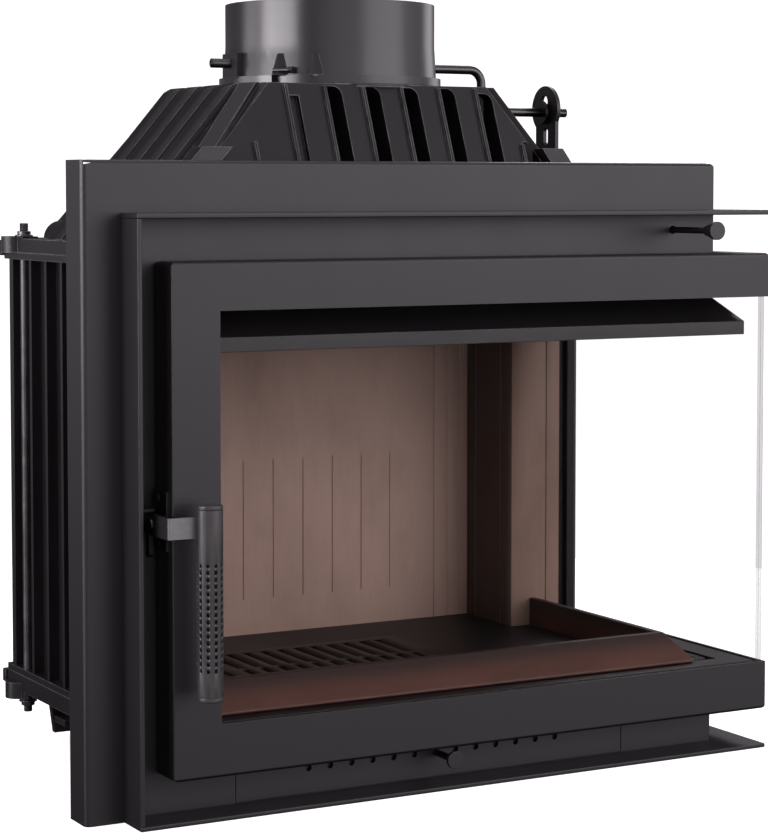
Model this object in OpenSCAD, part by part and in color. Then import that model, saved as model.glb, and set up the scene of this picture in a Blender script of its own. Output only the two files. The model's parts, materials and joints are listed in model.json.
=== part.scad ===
// Cast iron fireplace insert with an L-shaped glazed door round its front right corner.
// Millimetres. X runs to the right, Y to the back, Z up. The origin is the middle of
// the bounding box at floor level.

/* [Front] */
// width of the folded cover plate round the door
plate_w = 648; // [646:1:650]
// height of the folded cover plate
plate_h = 562.5; // [560:0.5:566]
// depth of the folded edge of the cover plate
return_d = 35; // [25:1:40]
// how far the convection collar stands in front of the cover plate
collar_out = 36.6; // [36.6:0.2:38]
// thickness of the collar plates
collar_t = 4; // [3:0.5:5]

/* [Door] */
// width of the left stile of the door
stile_w = 44.7; // [44:0.1:46]
// height of the top rail of the door
rail_top = 41.7; // [41:0.1:43]
// height of the bottom rail of the door
rail_bottom = 46; // [45:0.1:46.5]
// thickness of the door glass
glass_t = 4; // [3:0.5:4]

/* [Handle] */
// outside diameter of the perforated handle tube
handle_d = 22; // [20:0.5:25]
// number of rows of holes in the handle tube
handle_rows = 16; // [9:1:20]

/* [Flue] */
// outside radius of the upper, straight part of the flue spigot
flue_r = 99.5; // [98:0.5:100.5]
// height of the top of the flue spigot above the floor
flue_top = 711.5; // [705:0.5:715]
// radius of the damper disc
disc_r = 68; // [60:1:68]
// angle of the damper disc at rest
disc_rest = 35; // [10:1:38]

/* [Hood] */
// number of cooling ribs on the front of the hood
rib_n = 8; // [6:1:8]
// width of the deep channel to the right of each rib
slot_w = 16; // [10:1:18]
// thickness of each cooling rib
rib_t = 3; // [2:0.5:5]

/* [Body] */
// number of vertical fins on the left wall
fin_n = 7; // [4:1:7]
// wall thickness of the castings
wall_t = 8; // [6:0.5:8]

/* [Hidden] */

$fn = 64;
sheet = 2;
// frame offsets: the corner of the cover plate sits at (-off_x, -off_y, 0)
off_x = 343.3;
off_y = 141.25;
right = 686.6;                       // outer face of door and collar on the right
rear = 341;                          // rear end of the collar's right arm
// door outline
d_x0 = 64.8;  d_y0 = -36.6;  d_yb = -3.6;  d_xb = 651.6;  d_yr = 338;
d_z0 = 38.1;  d_z1 = 477.2;
o_z0 = d_z0 + rail_bottom;           // glazed opening
o_z1 = d_z1 - rail_top;
o_x0 = d_x0 + stile_w;
o_y1 = 297;
// hinge axis, latch axis, flue axis
h_x = 668;  h_y = 352;
l_y = -26;  l_z = 257;  lv_x0 = 50.5;  lv_x1 = 54.5;
f_x = 323.3;  f_y = 173;
sh_z = 654.7;                        // damper shaft height
cr = 40.5;                           // crank radius
pr_x = 600;  pr_z = 499.3;           // damper pull rod
ak_x = 341.5;  ak_z = 26.1;          // air control rod
// body levels
b_z0 = 55.7;  b_z1 = 71.6;           // base plate
r_z0 = 477.6;  r_z1 = 491;           // rim of the hood
p_z = 633.5;                         // plateau of the hood
s_z = 634.5;                         // seat of the flue spigot
rods = [[61, 299], [61, 30], [612, 300]];

C_iron = [0.26, 0.25, 0.26];
C_steel = [0.28, 0.27, 0.28];
C_lin = [0.36, 0.31, 0.28];
C_bright = [0.55, 0.55, 0.57];

// ---------- helpers ----------
module at() translate([-off_x, -off_y, 0]) children();
module bx(a, b) translate(a) cube(b - a);
// outline in XZ drawn out along Y, and outline in YZ drawn out along X
module ys(p, y0, y1) translate([0, y1, 0]) rotate([90, 0, 0]) linear_extrude(y1 - y0) polygon(p);
module xs(p, x0, x1) translate([x0, 0, 0]) rotate([90, 0, 90]) linear_extrude(x1 - x0) polygon(p);
module cz(x, y, z0, z1, r) translate([x, y, z0]) cylinder(r = r, h = z1 - z0);
module cy(x, z, y0, y1, r) translate([x, y0, z]) rotate([-90, 0, 0]) cylinder(r = r, h = y1 - y0);
module cx(y, z, x0, x1, r) translate([x0, y, z]) rotate([0, 90, 0]) cylinder(r = r, h = x1 - x0);
module cyc(x, z, y0, y1, r0, r1) translate([x, y0, z]) rotate([-90, 0, 0]) cylinder(r1 = r0, r2 = r1, h = y1 - y0);
module rr(x0, y0, x1, y1, r) {
  translate([x0 + r, y0]) square([x1 - x0 - 2 * r, y1 - y0]);
  translate([x0, y0 + r]) square([x1 - x0, y1 - y0 - 2 * r]);
  for (x = [x0 + r, x1 - r], y = [y0 + r, y1 - r]) translate([x, y]) circle(r);
}
// upright slab with a rounded outline, drawn out along Y, and the same along X
module ysr(x0, z0, x1, z1, r, y0, y1) translate([0, y1, 0]) rotate([90, 0, 0]) linear_extrude(y1 - y0) rr(x0, z0, x1, z1, r);
module xsr(y0, z0, y1, z1, r, x0, x1) translate([x0, 0, 0]) rotate([90, 0, 90]) linear_extrude(x1 - x0) rr(y0, z0, y1, z1, r);
// everything outside a plane: p lies on it, az and el give its outward normal
module cut(p, az, el) translate(p) rotate([0, 0, az]) rotate([0, -el, 0]) translate([0, -600, -600]) cube([900, 1200, 1200]);

// ---------- body castings ----------
module base_plate() color(C_iron) at() difference() {
  union() {
    bx([56, 10, b_z0], [638, 340, b_z1]);
    cz(58, 316, b_z0 - 7.5, b_z1 - 7.6, 13);
    bx([56, 296, b_z0 - 7.5], [71, 316, b_z0]);
    bx([70, 10, b_z0 - 6], [76, 340, b_z0]);
  }
  bx([206, 76, 0], [434, 244, 100]);
  for (p = rods) cz(p[0], p[1], 0, 100, 4.5);
}

module hearth_plate() color(C_iron) at() difference() {
  union() {
    bx([76, 10, b_z1], [638, 240, 84]);
    bx([76, 240, b_z1], [580, 340, 84]);
  }
  bx([212, 82, 0], [428, 238, 100]);
  bx([204, 74, 78], [436, 246, 100]);
}

module left_wall() color(C_iron) at() difference() {
  union() {
    bx([76 - wall_t, 10, b_z1], [76, 340, r_z0]);
    bx([56, 10, b_z1], [76, 340, 78]);
    bx([56, 10, 471], [76, 340, r_z0]);
    for (i = [0:fin_n - 1]) bx([58, 36.2 + i * 39.5, 78], [69, 41.2 + i * 39.5, 471]);
    bx([58, 322, 78], [69, 328, 471]);
    bx([63.4, 334, 78], [69, 340, 471]);
  }
  for (p = rods) cz(p[0], p[1], 0, 600, 4.5);
}

module back_wall() color(C_iron) at() {
  bx([63.4, 340, b_z1], [646, 340 + wall_t, r_z0]);
  bx([53, 340, b_z1 - 13], [70, 348, b_z1]);
  bx([53, 340, 474], [70, 348, 489]);
  for (x = [90:44:600]) bx([x, 347, 86], [x + 6, 357, 464]);
  bx([80, 347, 464], [600, 352, 470]);
  bx([80, 347, 80], [600, 352, 86]);
}

module right_column() color(C_iron) at() {
  bx([580, 246, b_z1], [588, 340, r_z0]);
  bx([588, 246, b_z1], [638, 254, r_z0]);
  bx([630, 254, b_z1], [638, 340, r_z0]);
}

module front_frame() color(C_iron) at() difference() {
  union() {
    bx([12, sheet, 56], [646, 10, 556]);
    bx([638, sheet, 56], [646, 340, 556]);
    bx([110, 9, 448], [638, 33, 456]);
  }
  bx([104, 0, 84], [700, 11, 446]);
  bx([630, 0, 84], [700, 240, 446]);
  cy(pr_x, pr_z, 0, 20, 5);
  // relief for the inner bend of the cover plate
  bx([642.9, 1, 0], [647, 5.1, 600]);
}

// hood: a pyramid with bevelled corners, each face set in by its own amount
module pyr(of, os, oc, ot, z0, ef = 21.8) difference() {
  bx([57, 11, z0], [637, 338, p_z - ot]);
  cut([f_x, 70 + of, p_z], 270, ef);
  cut([f_x, 285 - os, p_z], 90, 8);
  cut([185 + os, f_y, p_z], 180, 40.6);
  cut([461 - os, f_y, p_z], 0, 32.6);
  cut([194 + oc, 85 + oc * 0.6, p_z], 209.3, 46.9);
  cut([452 - oc, 85 + oc * 0.6, p_z], 329, 37);
  cut([194 + oc, 270 - oc * 0.6, p_z], 151, 43);
  cut([452 - oc, 270 - oc * 0.6, p_z], 31, 35);
}

// channel to the right of rib i, its upper right corner rounded
module channel(i) {
  x = rib_x(i) + rib_t / 2;
  zt = i == 7 ? 582 : (i == 6 ? 627 : 631);
  bx([x, 0, r_z0 - 1], [x + slot_w, 200, zt - 8]);
  bx([x, 0, zt - 9], [x + slot_w - 8, 200, zt]);
  cy(x + slot_w - 8, zt - 8, 0, 200, 8);
}
// crowned rib of the left face, drawn out down the slope
module crowned(yc) translate([185, yc, p_z]) rotate([0, -139.4, 0]) translate([0, 0, -30])
  linear_extrude(300) polygon([[-26, -15], [-9, -15], [-4.5, -13.4], [-1.6, -9.5], [0, -3.5], [0, 3.5], [-1.6, 9.5], [-4.5, 13.4], [-9, 15], [-26, 15]]);

module top_hood() color(C_iron) at() difference() {
  union() {
    // shell, flush face between the ribs
    difference() {
      pyr(3, 14, 6, 0, r_z0);
      for (i = [2:7]) channel(i);
      // shallow hollow beside the second rib
      intersection() {
        bx([rib_x(1) + rib_t / 2, 0, r_z0 - 1], [rib_x(1) + rib_t / 2 + 11, 200, 622]);
        cut([f_x, 78, p_z], 270, 21.8);
      }
    }
    pyr(30, 15, 9, 0, r_z0, 16.8);
    // front ribs
    intersection() {
      pyr(0, 0, 0, 0, r_z0);
      for (i = [0:rib_n - 1]) bx([rib_x(i) - rib_t / 2, 8, r_z0], [rib_x(i) + rib_t / 2, 180, (i == 0 || i == 7) ? 580 : p_z - 2]);
    }
    // crowned ribs of the left and right faces
    intersection() {
      difference() {
        pyr(0, 0, 0, 0, r_z0);
        cut([193, f_y, p_z], 180, 66);
      }
      for (i = [0:3]) crowned(121.5 + i * 39);
    }
    intersection() {
      pyr(0, 0, 0, 0, r_z0);
      for (i = [0:3]) bx([440, 108 + i * 39, r_z0], [640, 135 + i * 39, p_z - 2]);
    }
    // rear ribs
    intersection() {
      pyr(0, 6, 6, 0, r_z0);
      for (i = [0:6]) bx([204 + i * 39.7, 200, r_z0], [208 + i * 39.7, 336, p_z - 2]);
    }
    // ridge bands on the bevelled corners
    intersection() {
      pyr(0, 0, 0, 0, r_z0);
      union() {
        translate([194, 85, 0]) rotate([0, 0, 209.3 + 180]) translate([-300, -9, r_z0]) cube([330, 18, p_z - r_z0]);
        translate([452, 85, 0]) rotate([0, 0, 329 + 180]) translate([-300, -7, r_z0]) cube([330, 14, p_z - r_z0]);
        translate([452, 270, 0]) rotate([0, 0, 31 + 180]) translate([-300, -9, r_z0]) cube([330, 18, p_z - r_z0]);
      }
    }
    // lugs at the foot of the front ridges
    ys([[126.9, 574.8], [156, 574.8], [106, 519], [77, 519]], 36, 52);
    ys([[476, 576], [498.8, 576], [541, 519], [518, 519]], 36, 52);
    // rim with the tie rod lug
    bx([56, 10, r_z0], [638, 340, r_z1]);
    cz(58, 316, r_z0, r_z1 + 2, 13);
    bx([56, 290, r_z0], [72, 316, r_z1 + 2]);
    // rounded shoulder at the rear left corner
    translate([92, 284, r_z1]) rotate([90, 0, 0]) cylinder(r = 17, h = 26);
    // seat of the flue spigot
    cz(f_x, f_y, p_z - 2, s_z, 104);
  }
  // inside
  pyr(38, 23, 18, 8, r_z0 - 1, 16.8);
  bx([84, 79, r_z0 - 1], [545, 300, r_z1 - 3]);
  cz(f_x, f_y, 600, 700, 70);
  for (p = rods) {
    cz(p[0], p[1], 400, 600, 4.5);
    cz(p[0], p[1], (p[0] < 100 && p[1] > 200) ? r_z1 + 2 : r_z1, 530, 9.2);
  }
  // flat underside of the shoulder
  bx([20, 200, 400], [125, 300, r_z0]);
}
function rib_x(i) = 224.2 + (i - 1) * 39.7;

// cast lug on the flange of the spigot: a steep half pyramid with its back in the wall
module gusset(a) translate([f_x, f_y, 0]) rotate([0, 0, a]) difference() {
  bx([95, -9, s_z + 6], [112, 9, s_z + 27.3]);
  cut([108, 0, s_z + 7.5], 39.3, 11.5);
  cut([108, 0, s_z + 7.5], -39.3, 11.5);
}

module flue_spigot() color(C_iron) at() difference() {
  union() {
    translate([f_x, f_y, 0]) rotate_extrude($fn = 128) polygon([[74, s_z], [105.5, s_z], [105.5, s_z + 7.5],
      [101.2, s_z + 7.5], [flue_r, 671.5], [flue_r, flue_top], [flue_r - 5.5, flue_top], [flue_r - 5.5, 676], [91, 671.5], [91, s_z + 8], [74, s_z + 5.5]]);
    for (q = [45, 225]) { gusset(q - 9.5); gusset(q + 9.5); }
    // pads round the damper shaft
    intersection() {
      bx([f_x - 105.3, f_y - 16, s_z + 6], [f_x + 105.3, f_y + 16, 664]);
      translate([f_x, f_y, 0]) difference() { cylinder(r = 130, h = 900); cylinder(r = 92, h = 900); }
    }
  }
  cx(f_y, sh_z, 100, 600, 4.46);
  for (q = [45, 225]) {
    translate([f_x, f_y, 0]) rotate([0, 0, q - 9.5]) translate([97, -6.5, 630]) cube([30, 15, s_z + 7.5 - 630]);
    translate([f_x, f_y, 0]) rotate([0, 0, q - 9.5]) translate([104.6, 0, s_z + 12]) rotate([90, 0, 0]) cylinder(r = 2.28, h = 40, center = true);
  }
}

module spigot_bolts() color(C_bright) at() for (q = [35.5, 215.5]) translate([f_x, f_y, s_z + 12]) rotate([0, 0, q]) translate([104.6, 0, 0]) rotate([-90, 0, 0]) {
  translate([0, 0, -5]) cylinder(r = 2.2, h = 18);
  translate([0, 0, 11.5]) cylinder(r = 3.5, h = 4, $fn = 6);
}

module tie_rods() color(C_steel) at() for (p = rods) cz(p[0], p[1], 37, 505.5, 4);

module tie_rod_nuts() color(C_bright) at() for (p = rods, s = [0, 1]) {
  rl = p[0] < 100 && p[1] > 200;
  z = s == 0 ? (rl ? 43.2 : 50.7) : (rl ? 493 : 491);
  translate([p[0], p[1], z]) difference() {
    union() {
      translate([0, 0, s == 0 ? 3.5 : 0]) cylinder(r = 8.5, h = 1.5);
      translate([0, 0, s == 0 ? 0 : 1.5]) cylinder(r = 6.4, h = 3.5);
    }
    translate([0, 0, -1]) cylinder(r = 4.02, h = 9);
  }
}

module ash_box() color(C_steel) at() difference() {
  bx([134, sheet, 3], [549, 290, b_z0]);
  bx([136, 0, 5], [547, 288, 100]);
}

module drawer_runners() color(C_steel) at() for (x = [144, 529]) bx([x, 12, 5], [x + 10, 286, 7.6]);

module legs() color(C_iron) at() for (s = [0, 1], r = [0, 1]) translate([s == 0 ? 0 : 694, 0, 0]) mirror([s, 0, 0]) {
  y = r == 0 ? 14 : 332;
  x = r == 0 ? -18 : 0;
  z = b_z0 - 8;
  ys([[94 + x, b_z0], [142 + x, b_z0], [134 + x, 5], [101 + x, 5]], y, y + 7);
  ys([[94 + x, b_z0], [142 + x, b_z0], [140 + x, 44], [96 + x, 44]], r == 0 ? y + 7 : y - 26, r == 0 ? y + 33 : y);
  bx([114 + x, r == 0 ? y + 7 : y - 26, 20], [120 + x, r == 0 ? y + 30 : y, 46]);
  difference() {
    bx([101 + x, r == 0 ? y + 6 : y - 26, 16], [134 + x, r == 0 ? y + 33 : y + 1, 22]);
    cz(126 + x, r == 0 ? y + 20 : y - 13, 0, 40, 4.3);
  }
}

module levelling_feet() color(C_bright) at() for (s = [0, 1], r = [0, 1]) translate([s == 0 ? 0 : 694, 0, 0]) mirror([s, 0, 0]) {
  y = (r == 0 ? 14 : 332) + (r == 0 ? 20 : -13);
  x = 126 + (r == 0 ? -18 : 0);
  cz(x, y, 0, 4, 12);
  cz(x, y, 4, 34, 4);
  translate([x, y, 9]) cylinder(r = 7.5, h = 6, $fn = 6);
}

// ---------- front sheet metal ----------
module front_plate() color(C_steel) at() intersection() {
  front_sheet();
  ysr(-30, -30, plate_w, plate_h, 6.5, -5, 400);
  xsr(0, -30, 420, plate_h, 4, -5, 700);
}
module front_sheet() difference() {
  union() {
    difference() {
      linear_extrude(plate_h) difference() {
        union() { rr(0, 0, plate_w, rear + 40, 5); rr(100, 0, plate_w, 200, 1.5); }
        rr(sheet, sheet, plate_w - sheet, rear + 60, 3);
      }
      bx([-1, return_d, -1], [10, 500, 700]);
      bx([-1, rear, -1], [700, 500, 700]);
      bx([8, rear - 20, -1], [640, 500, 700]);
    }
    bx([8, sheet - 0.5, plate_h - sheet], [plate_w - 8, 24, plate_h]);
    bx([plate_w - 24, 24, plate_h - sheet], [plate_w - sheet + 0.5, rear - 6, plate_h]);
    // weld along the rounded corner
    bx([plate_w - 4.5, sheet - 0.5, plate_h - 4.5], [plate_w - sheet + 0.5, rear - 6, plate_h - sheet + 0.5]);
  }
  // slit where the two folds meet
  translate([0, 3.5, 0]) rotate([90, 0, 0]) linear_extrude(5) polygon([[2.2, plate_h - 4], [9.5, plate_h - 2.6], [2.2, plate_h - 2.3]]);
  bx([96, -1, 70], [700, 12, 449]);
  bx([620, -1, 70], [700, 245, 449]);
  bx([139.1, -1, 4.3], [543.9, 3, 38.5]);
  cy(pr_x, pr_z, -5, 10, 4);
}

module collar_top() color(C_steel) at() {
  bx([34.8, -collar_out, 518.1 - collar_t - 0.6], [right, 0, 518.1]);
  bx([plate_w, -0.5, 518.1 - collar_t - 0.6], [right, rear, 518.1]);
}
module collar_left() color(C_steel) at() bx([34.8, -collar_out, collar_t], [38.8, 0, 518.1 - collar_t - 0.6]);
module collar_bottom() color(C_steel) at() {
  bx([34.8, -collar_out, 0], [right, 0, collar_t]);
  bx([plate_w, -0.5, 0], [right, rear, collar_t]);
}

// ---------- inside the fire chamber ----------
module grate() color(C_iron) at() difference() {
  bx([205, 75, 78], [435, 245, 86]);
  for (i = [0:10], j = [0, 1]) bx([220 + i * 18.2, 88 + j * 76, 70], [228 + i * 18.2, 156 + j * 76, 90]);
}

gp = [[-12, 85], [-12, 87.5], [9, 112.5], [16, 112.5], [16, 84], [11, 84], [11, 106], [-6, 85]];
module log_guard_front() color(C_iron) at() difference() {
  xs(gp, 112, 640);
  // mitre at the corner
  translate([608, 0, 0]) rotate([0, 0, 45]) translate([-0.2, -300, 50]) cube([300, 600, 100]);
}
module log_guard_side() color(C_iron) at() difference() {
  ys([for (p = gp) [608 - p[0], p[1]]], -40, 239.7);
  translate([608, 0, 0]) rotate([0, 0, 45]) translate([-300 + 0.2, -300, 50]) cube([300, 600, 100]);
}

module left_lining() color(C_lin) at() difference() {
  bx([76, 12, 84], [86, 330, 446]);
  for (y = [30, 46, 296, 312]) bx([84.5, y, 84], [87, y + 1.6, 447]);
}
module back_lining() color(C_lin) at() difference() {
  bx([76, 330, 84], [580, 340, 446]);
  for (x = [100, 116, 130, 528.3, 544.3, 559.3]) bx([x, 329, 83], [x + 1.6, 331.5, 447]);
  // plain fluted field low in the middle
  for (i = [0:9]) bx([168 + i * 34, 329, 120], [170 + i * 34, 331.2, 262]);
}
module right_lining() color(C_lin) at() difference() {
  union() {
    bx([570, 240, 84], [580, 330, 446]);
    bx([580, 240, 84], [628, 246, 446]);
  }
  for (y = [262, 312]) bx([569, y, 83], [571.2, y + 1.6, 447]);
  bx([611.2, 239, 83], [612.6, 241.2, 447]);
}

module air_deflector() color(C_steel) at() {
  xs([[-20, 399], [-17, 399], [-17, 409.6], [36, 430.6], [36, 434], [-20, 411.8]], 114, 670);
  xs([[33, 432], [36, 430.6], [36, 458], [33, 458]], 130, 630);
}

module smoke_baffle() color([0.6, 0.55, 0.46]) at() bx([78, 120, 446], [578, 332, 460]);

// ---------- hinges and latch keeper on the body ----------
module hinge_brackets() color(C_iron) at() for (z = [84, 404]) difference() {
  union() {
    bx([606, 348, z], [h_x, 354, z + 20.7]);
    cz(h_x, h_y, z, z + 20.7, 8);
  }
  cz(h_x, h_y, z - 1, z + 30, 4.02);
}
module hinge_pins() color(C_bright) at() for (z = [84, 404]) {
  cz(h_x, h_y, z - 3, z + 44, 4);
  cz(h_x, h_y, z - 3, z - 0.05, 6);
}
module latch_keeper() color(C_steel) at() {
  bx([38.8, -30, 250], [41.8, -4, 286]);
  cx(-12, 267, 41.5, 58, 3);
  cx(-12, 267, 41.5, 44, 5);
}
module damper_rod_guide() color(C_iron) at() difference() {
  union() {
    bx([588, 58, r_z1], [612, 90, r_z1 + 3]);
    bx([590, 66, r_z1 + 2], [610, 74, 502]);
    cy(pr_x, pr_z, 66, 74, 8);
  }
  cy(pr_x, pr_z, 50, 100, 3.05);
  for (x = [593, 607]) cz(x, 83, 480, 500, 2.2);
}

// ---------- door ----------
post_f = [[200, 69], [380, 69], [560, 69], [200, 450.5], [380, 450.5], [560, 450.5], [76, 180], [76, 340]];
post_s = [[60, 69], [180, 69], [60, 450.5], [180, 450.5], [320, 180], [320, 340]];

module ell(x0, y0, x1, y1, x2, z0, z1) {  // L in plan: front arm and right arm
  bx([x0, y0, z0], [x1, y1, z1]);
  bx([x2, y0, z0], [x1, d_yr, z1]);
}
module door_frame() color(C_steel) at() intersection() {
  door_sheet();
  ysr(d_x0, d_z0, right, d_z1, 5, -60, 360);
  xsr(d_y0, d_z0, 400, d_z1, 3, 0, 700);
  linear_extrude(600) rr(d_x0, d_y0, right, 400, 1.2);
}
module door_sheet() difference() {
  union() {
    difference() {
      union() {
        bx([d_x0, d_y0, d_z0], [right, d_y0 + 3, d_z1]);
        bx([right - 3, d_y0, d_z0], [right, d_yr, d_z1]);
      }
      bx([o_x0, d_y0 - 1, o_z0], [right + 1, d_y0 + 4, o_z1]);
      bx([right - 4, d_y0 - 1, o_z0], [right + 1, o_y1, o_z1]);
    }
    bx([d_x0, d_y0, d_z0], [d_x0 + 3, d_yb, d_z1]);
    for (z = [d_z0, d_z1 - 3]) { bx([d_x0, d_y0, z], [right, d_yb, z + 3]); bx([d_xb, d_y0, z], [right, d_yr, z + 3]); }
    bx([d_xb, d_yr - 3, d_z0], [right, d_yr, d_z1]);
    for (p = post_f) cy(p[0], p[1], d_y0 + 2, -6.7, 4);
    for (p = post_s) cx(p[0], p[1], d_xb + 3.1, right - 2, 4);
  }
  for (p = post_f) cy(p[0], p[1], -16, 0, 2.1);
  for (p = post_s) cx(p[0], p[1], d_xb, d_xb + 13, 2.1);
}

module inner_frame() color(C_steel) at() difference() {
  union() {
    difference() {
      union() {
        bx([d_x0 + 3.3, -6.6, d_z0 + 3.3], [d_xb + 3, d_yb, d_z1 - 3.3]);
        bx([d_xb, -6.6, d_z0 + 3.3], [d_xb + 3, d_yr - 3.3, d_z1 - 3.3]);
      }
      bx([101, -8, o_z0], [d_xb + 4, 0, o_z1]);
      bx([d_xb - 1, -8, o_z0], [d_xb + 4, o_y1, o_z1]);
    }
    // reveals behind the glass
    bx([98, -27.4, o_z0 - 3], [101, d_yb, o_z1 + 3]);
    for (z = [o_z0 - 3, o_z1]) { bx([98, -27.4, z], [677.4, d_yb, z + 3]); bx([d_xb, -27.4, z], [677.4, o_y1 + 3, z + 3]); }
    bx([d_xb, o_y1, o_z0 - 3], [677.4, o_y1 + 3, o_z1 + 3]);
    // lips that carry the glass seal
    bx([98, -27.4, o_z0 - 3], [o_x0, -25.4, o_z1 + 3]);
    bx([98, -27.4, o_z0 - 9], [677.4, -25.4, o_z0]);
    bx([98, -27.4, o_z1], [677.4, -25.4, o_z1 + 9]);
    bx([675.4, -27.4, o_z0 - 9], [677.4, o_y1 + 6, o_z0]);
    bx([675.4, -27.4, o_z1], [677.4, o_y1 + 6, o_z1 + 9]);
    bx([675.4, o_y1, o_z0 - 9], [677.4, o_y1 + 6, o_z1 + 9]);
  }
  for (p = post_f) cy(p[0], p[1], -8, 0, 2.1);
  for (p = post_s) cx(p[0], p[1], d_xb - 1, d_xb + 4, 2.1);
}

module front_glass() color([0.5, 0.5, 0.5, 0.3]) at() bx([103.5, -33.4, 77], [683.4, -33.4 + glass_t, 442.5]);
module side_glass() color([0.5, 0.5, 0.5, 0.3]) at() bx([683.4 - glass_t, -33.2 + glass_t, 77], [683.4, 303, 442.5]);

module glass_seal() color([0.12, 0.12, 0.12]) at() {
  bx([103.5, -29.4, 77], [109.3, -27.4, 442.5]);
  for (z = [[77, 84], [435.6, 442.5]]) {
    bx([103.5, -29.4, z[0]], [679.4, -27.4, z[1]]);
    bx([677.4, -29.4, z[0]], [679.4, 303, z[1]]);
  }
  bx([677.4, 297.2, 77], [679.4, 303, 442.5]);
}

module door_seal() color([0.12, 0.12, 0.12]) at() {
  bx([84, d_yb, 56], [92, -0.3, 463]);
  for (z = [56, 455]) { bx([84, d_yb, z], [d_xb, -0.3, z + 8]); bx([648.3, d_yb, z], [d_xb, 310, z + 8]); }
  bx([648.3, 302, 56], [d_xb, 310, 463]);
}

module frame_screws() color(C_bright) at() {
  for (p = post_f) { cy(p[0], p[1], -14, d_yb, 2); cy(p[0], p[1], d_yb, -1.8, 3.5); }
  for (p = post_s) { cx(p[0], p[1], d_xb, d_xb + 11, 2); cx(p[0], p[1], d_xb - 1.8, d_xb, 3.5); }
}

module hinge_leaves() color(C_iron) at() for (z = [105, 425]) difference() {
  union() {
    bx([655, d_yr, z], [683, d_yr + 3, z + 20]);
    bx([661, d_yr, z], [675, h_y, z + 20]);
    cz(h_x, h_y, z, z + 20, 8);
  }
  cz(h_x, h_y, z - 1, z + 21, 4.06);
}

module latch_bracket() color(C_steel) at() difference() {
  union() {
    bx([61.8, -31, 234], [d_x0, -6, 284]);
    for (z = [240, 278]) cx(-14, z, 60, 62, 4);
    cx(l_y, l_z, lv_x1 + 0.4, 62, 7);
  }
  cx(l_y, l_z, 40, d_x0 + 1, 3.06);
}
module latch_pivot() color(C_bright) at() {
  cx(l_y, l_z, 48.7, d_x0 - 0.05, 3);
  cx(l_y, l_z, 47.7, lv_x0 - 0.5, 6);
}

// ---------- latch ----------
module latch_lever() color(C_steel) at() difference() {
  union() {
    xs([[-58, 248], [l_y, 248], [l_y, 266], [-58, 266]], lv_x0, lv_x1);
    cx(l_y, l_z, lv_x0, lv_x1, 9);
    xs([[l_y, 249], [-3, 249], [-3, 263.5], [-8, 263.5], [-8, 257], [l_y, 257]], lv_x0, lv_x1);
    // bend round the edge of the door and the arm to the tube
    translate([lv_x0 + 2, -58, 248]) rotate([0, 0, 180]) rotate_extrude(angle = 90) square([2, 18]);
    difference() {
      bx([lv_x0 + 2, -60, 248], [84, -55, 266]);
      cz(ht_x, ht_y, 200, 300, handle_d / 2);
    }
    // hanging tongue
    xs([[-20, 232], [-13, 232], [-13, 250], [-20, 250]], lv_x0, lv_x1);
    cx(-16.5, 232, lv_x0, lv_x1, 3.5);
  }
  cx(l_y, l_z, 40, 60, 3.06);
}

ht_x = 86;  ht_y = -65;  ht_z0 = 111.5;  ht_z1 = 276.2;
module handle_tube() color(C_bright) at() difference() {
  cz(ht_x, ht_y, ht_z0 + 4, ht_z1 - 4, handle_d / 2);
  cz(ht_x, ht_y, ht_z0, ht_z1, handle_d / 2 - 1.8);
  for (r = [0:handle_rows - 1], a = [0:9]) translate([ht_x, ht_y, 137.8 + r * 5.9]) rotate([0, 0, 19.5 + a * 36])
    translate([handle_d / 2 - 4, 0, 0]) rotate([0, 90, 0]) cylinder(r = 1.5, h = 7, $fn = 24);
}
module handle_caps() color(C_bright) at() {
  cz(ht_x, ht_y, ht_z0 + 4, ht_z0 + 10, handle_d / 2 - 1.85);
  cz(ht_x, ht_y, ht_z1 - 10, ht_z1 - 4, handle_d / 2 - 1.85);
  cz(ht_x, ht_y, ht_z0, ht_z0 + 4, handle_d / 2);
  cz(ht_x, ht_y, ht_z1 - 4, ht_z1, handle_d / 2);
}

// ---------- ash drawer ----------
module drawer_front() color(C_steel) at() difference() {
  union() {
    bx([140, 0, 5], [543, sheet, 37.5]);
    cy(ak_x, ak_z, sheet - 0.5, 4, 6);
  }
  for (i = [0:12]) if (i != 6) { bx([207.8 + i * 21.5, -1, 27], [213.8 + i * 21.5, 3, 36.2]); cy(210.8 + i * 21.5, 27, -1, 3, 3); }
  cy(ak_x, ak_z, -5, 10, 3.06);
}
// welded tray: floor with a lip that meets the front, two sides, two ends
module drawer_floor() color(C_steel) at() bx([150, sheet, 8], [533, 262, 9.5]);
module drawer_sides() color(C_steel) at() for (x = [150, 531.5]) bx([x, sheet, 9.5], [x + 1.5, 262, 34]);
module drawer_ends() color(C_steel) at() for (y = [28, 260.5]) bx([151.5, y, 9.5], [531.5, y + 1.5, 34]);

module air_knob() color(C_steel) at() difference() {
  union() {
    cy(ak_x, ak_z, -35, -31, 8);
    cyc(ak_x, ak_z, -31, -24, 7, 4.2);
  }
  cy(ak_x, ak_z, -33, -20, 3.02);
}
module air_rod() color(C_bright) at() cy(ak_x, ak_z, -32.8, 12, 3);
module air_shutter() color(C_steel) at() difference() {
  bx([200, 4.5, 19], [480, 6, 37]);
  cy(ak_x, ak_z, 0, 30, 3.03);
}
module air_nut() color(C_bright) at() difference() {
  translate([ak_x, 6, ak_z]) rotate([-90, 0, 0]) cylinder(r = 5.8, h = 4, $fn = 6);
  cy(ak_x, ak_z, 0, 30, 3.02);
}

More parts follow.
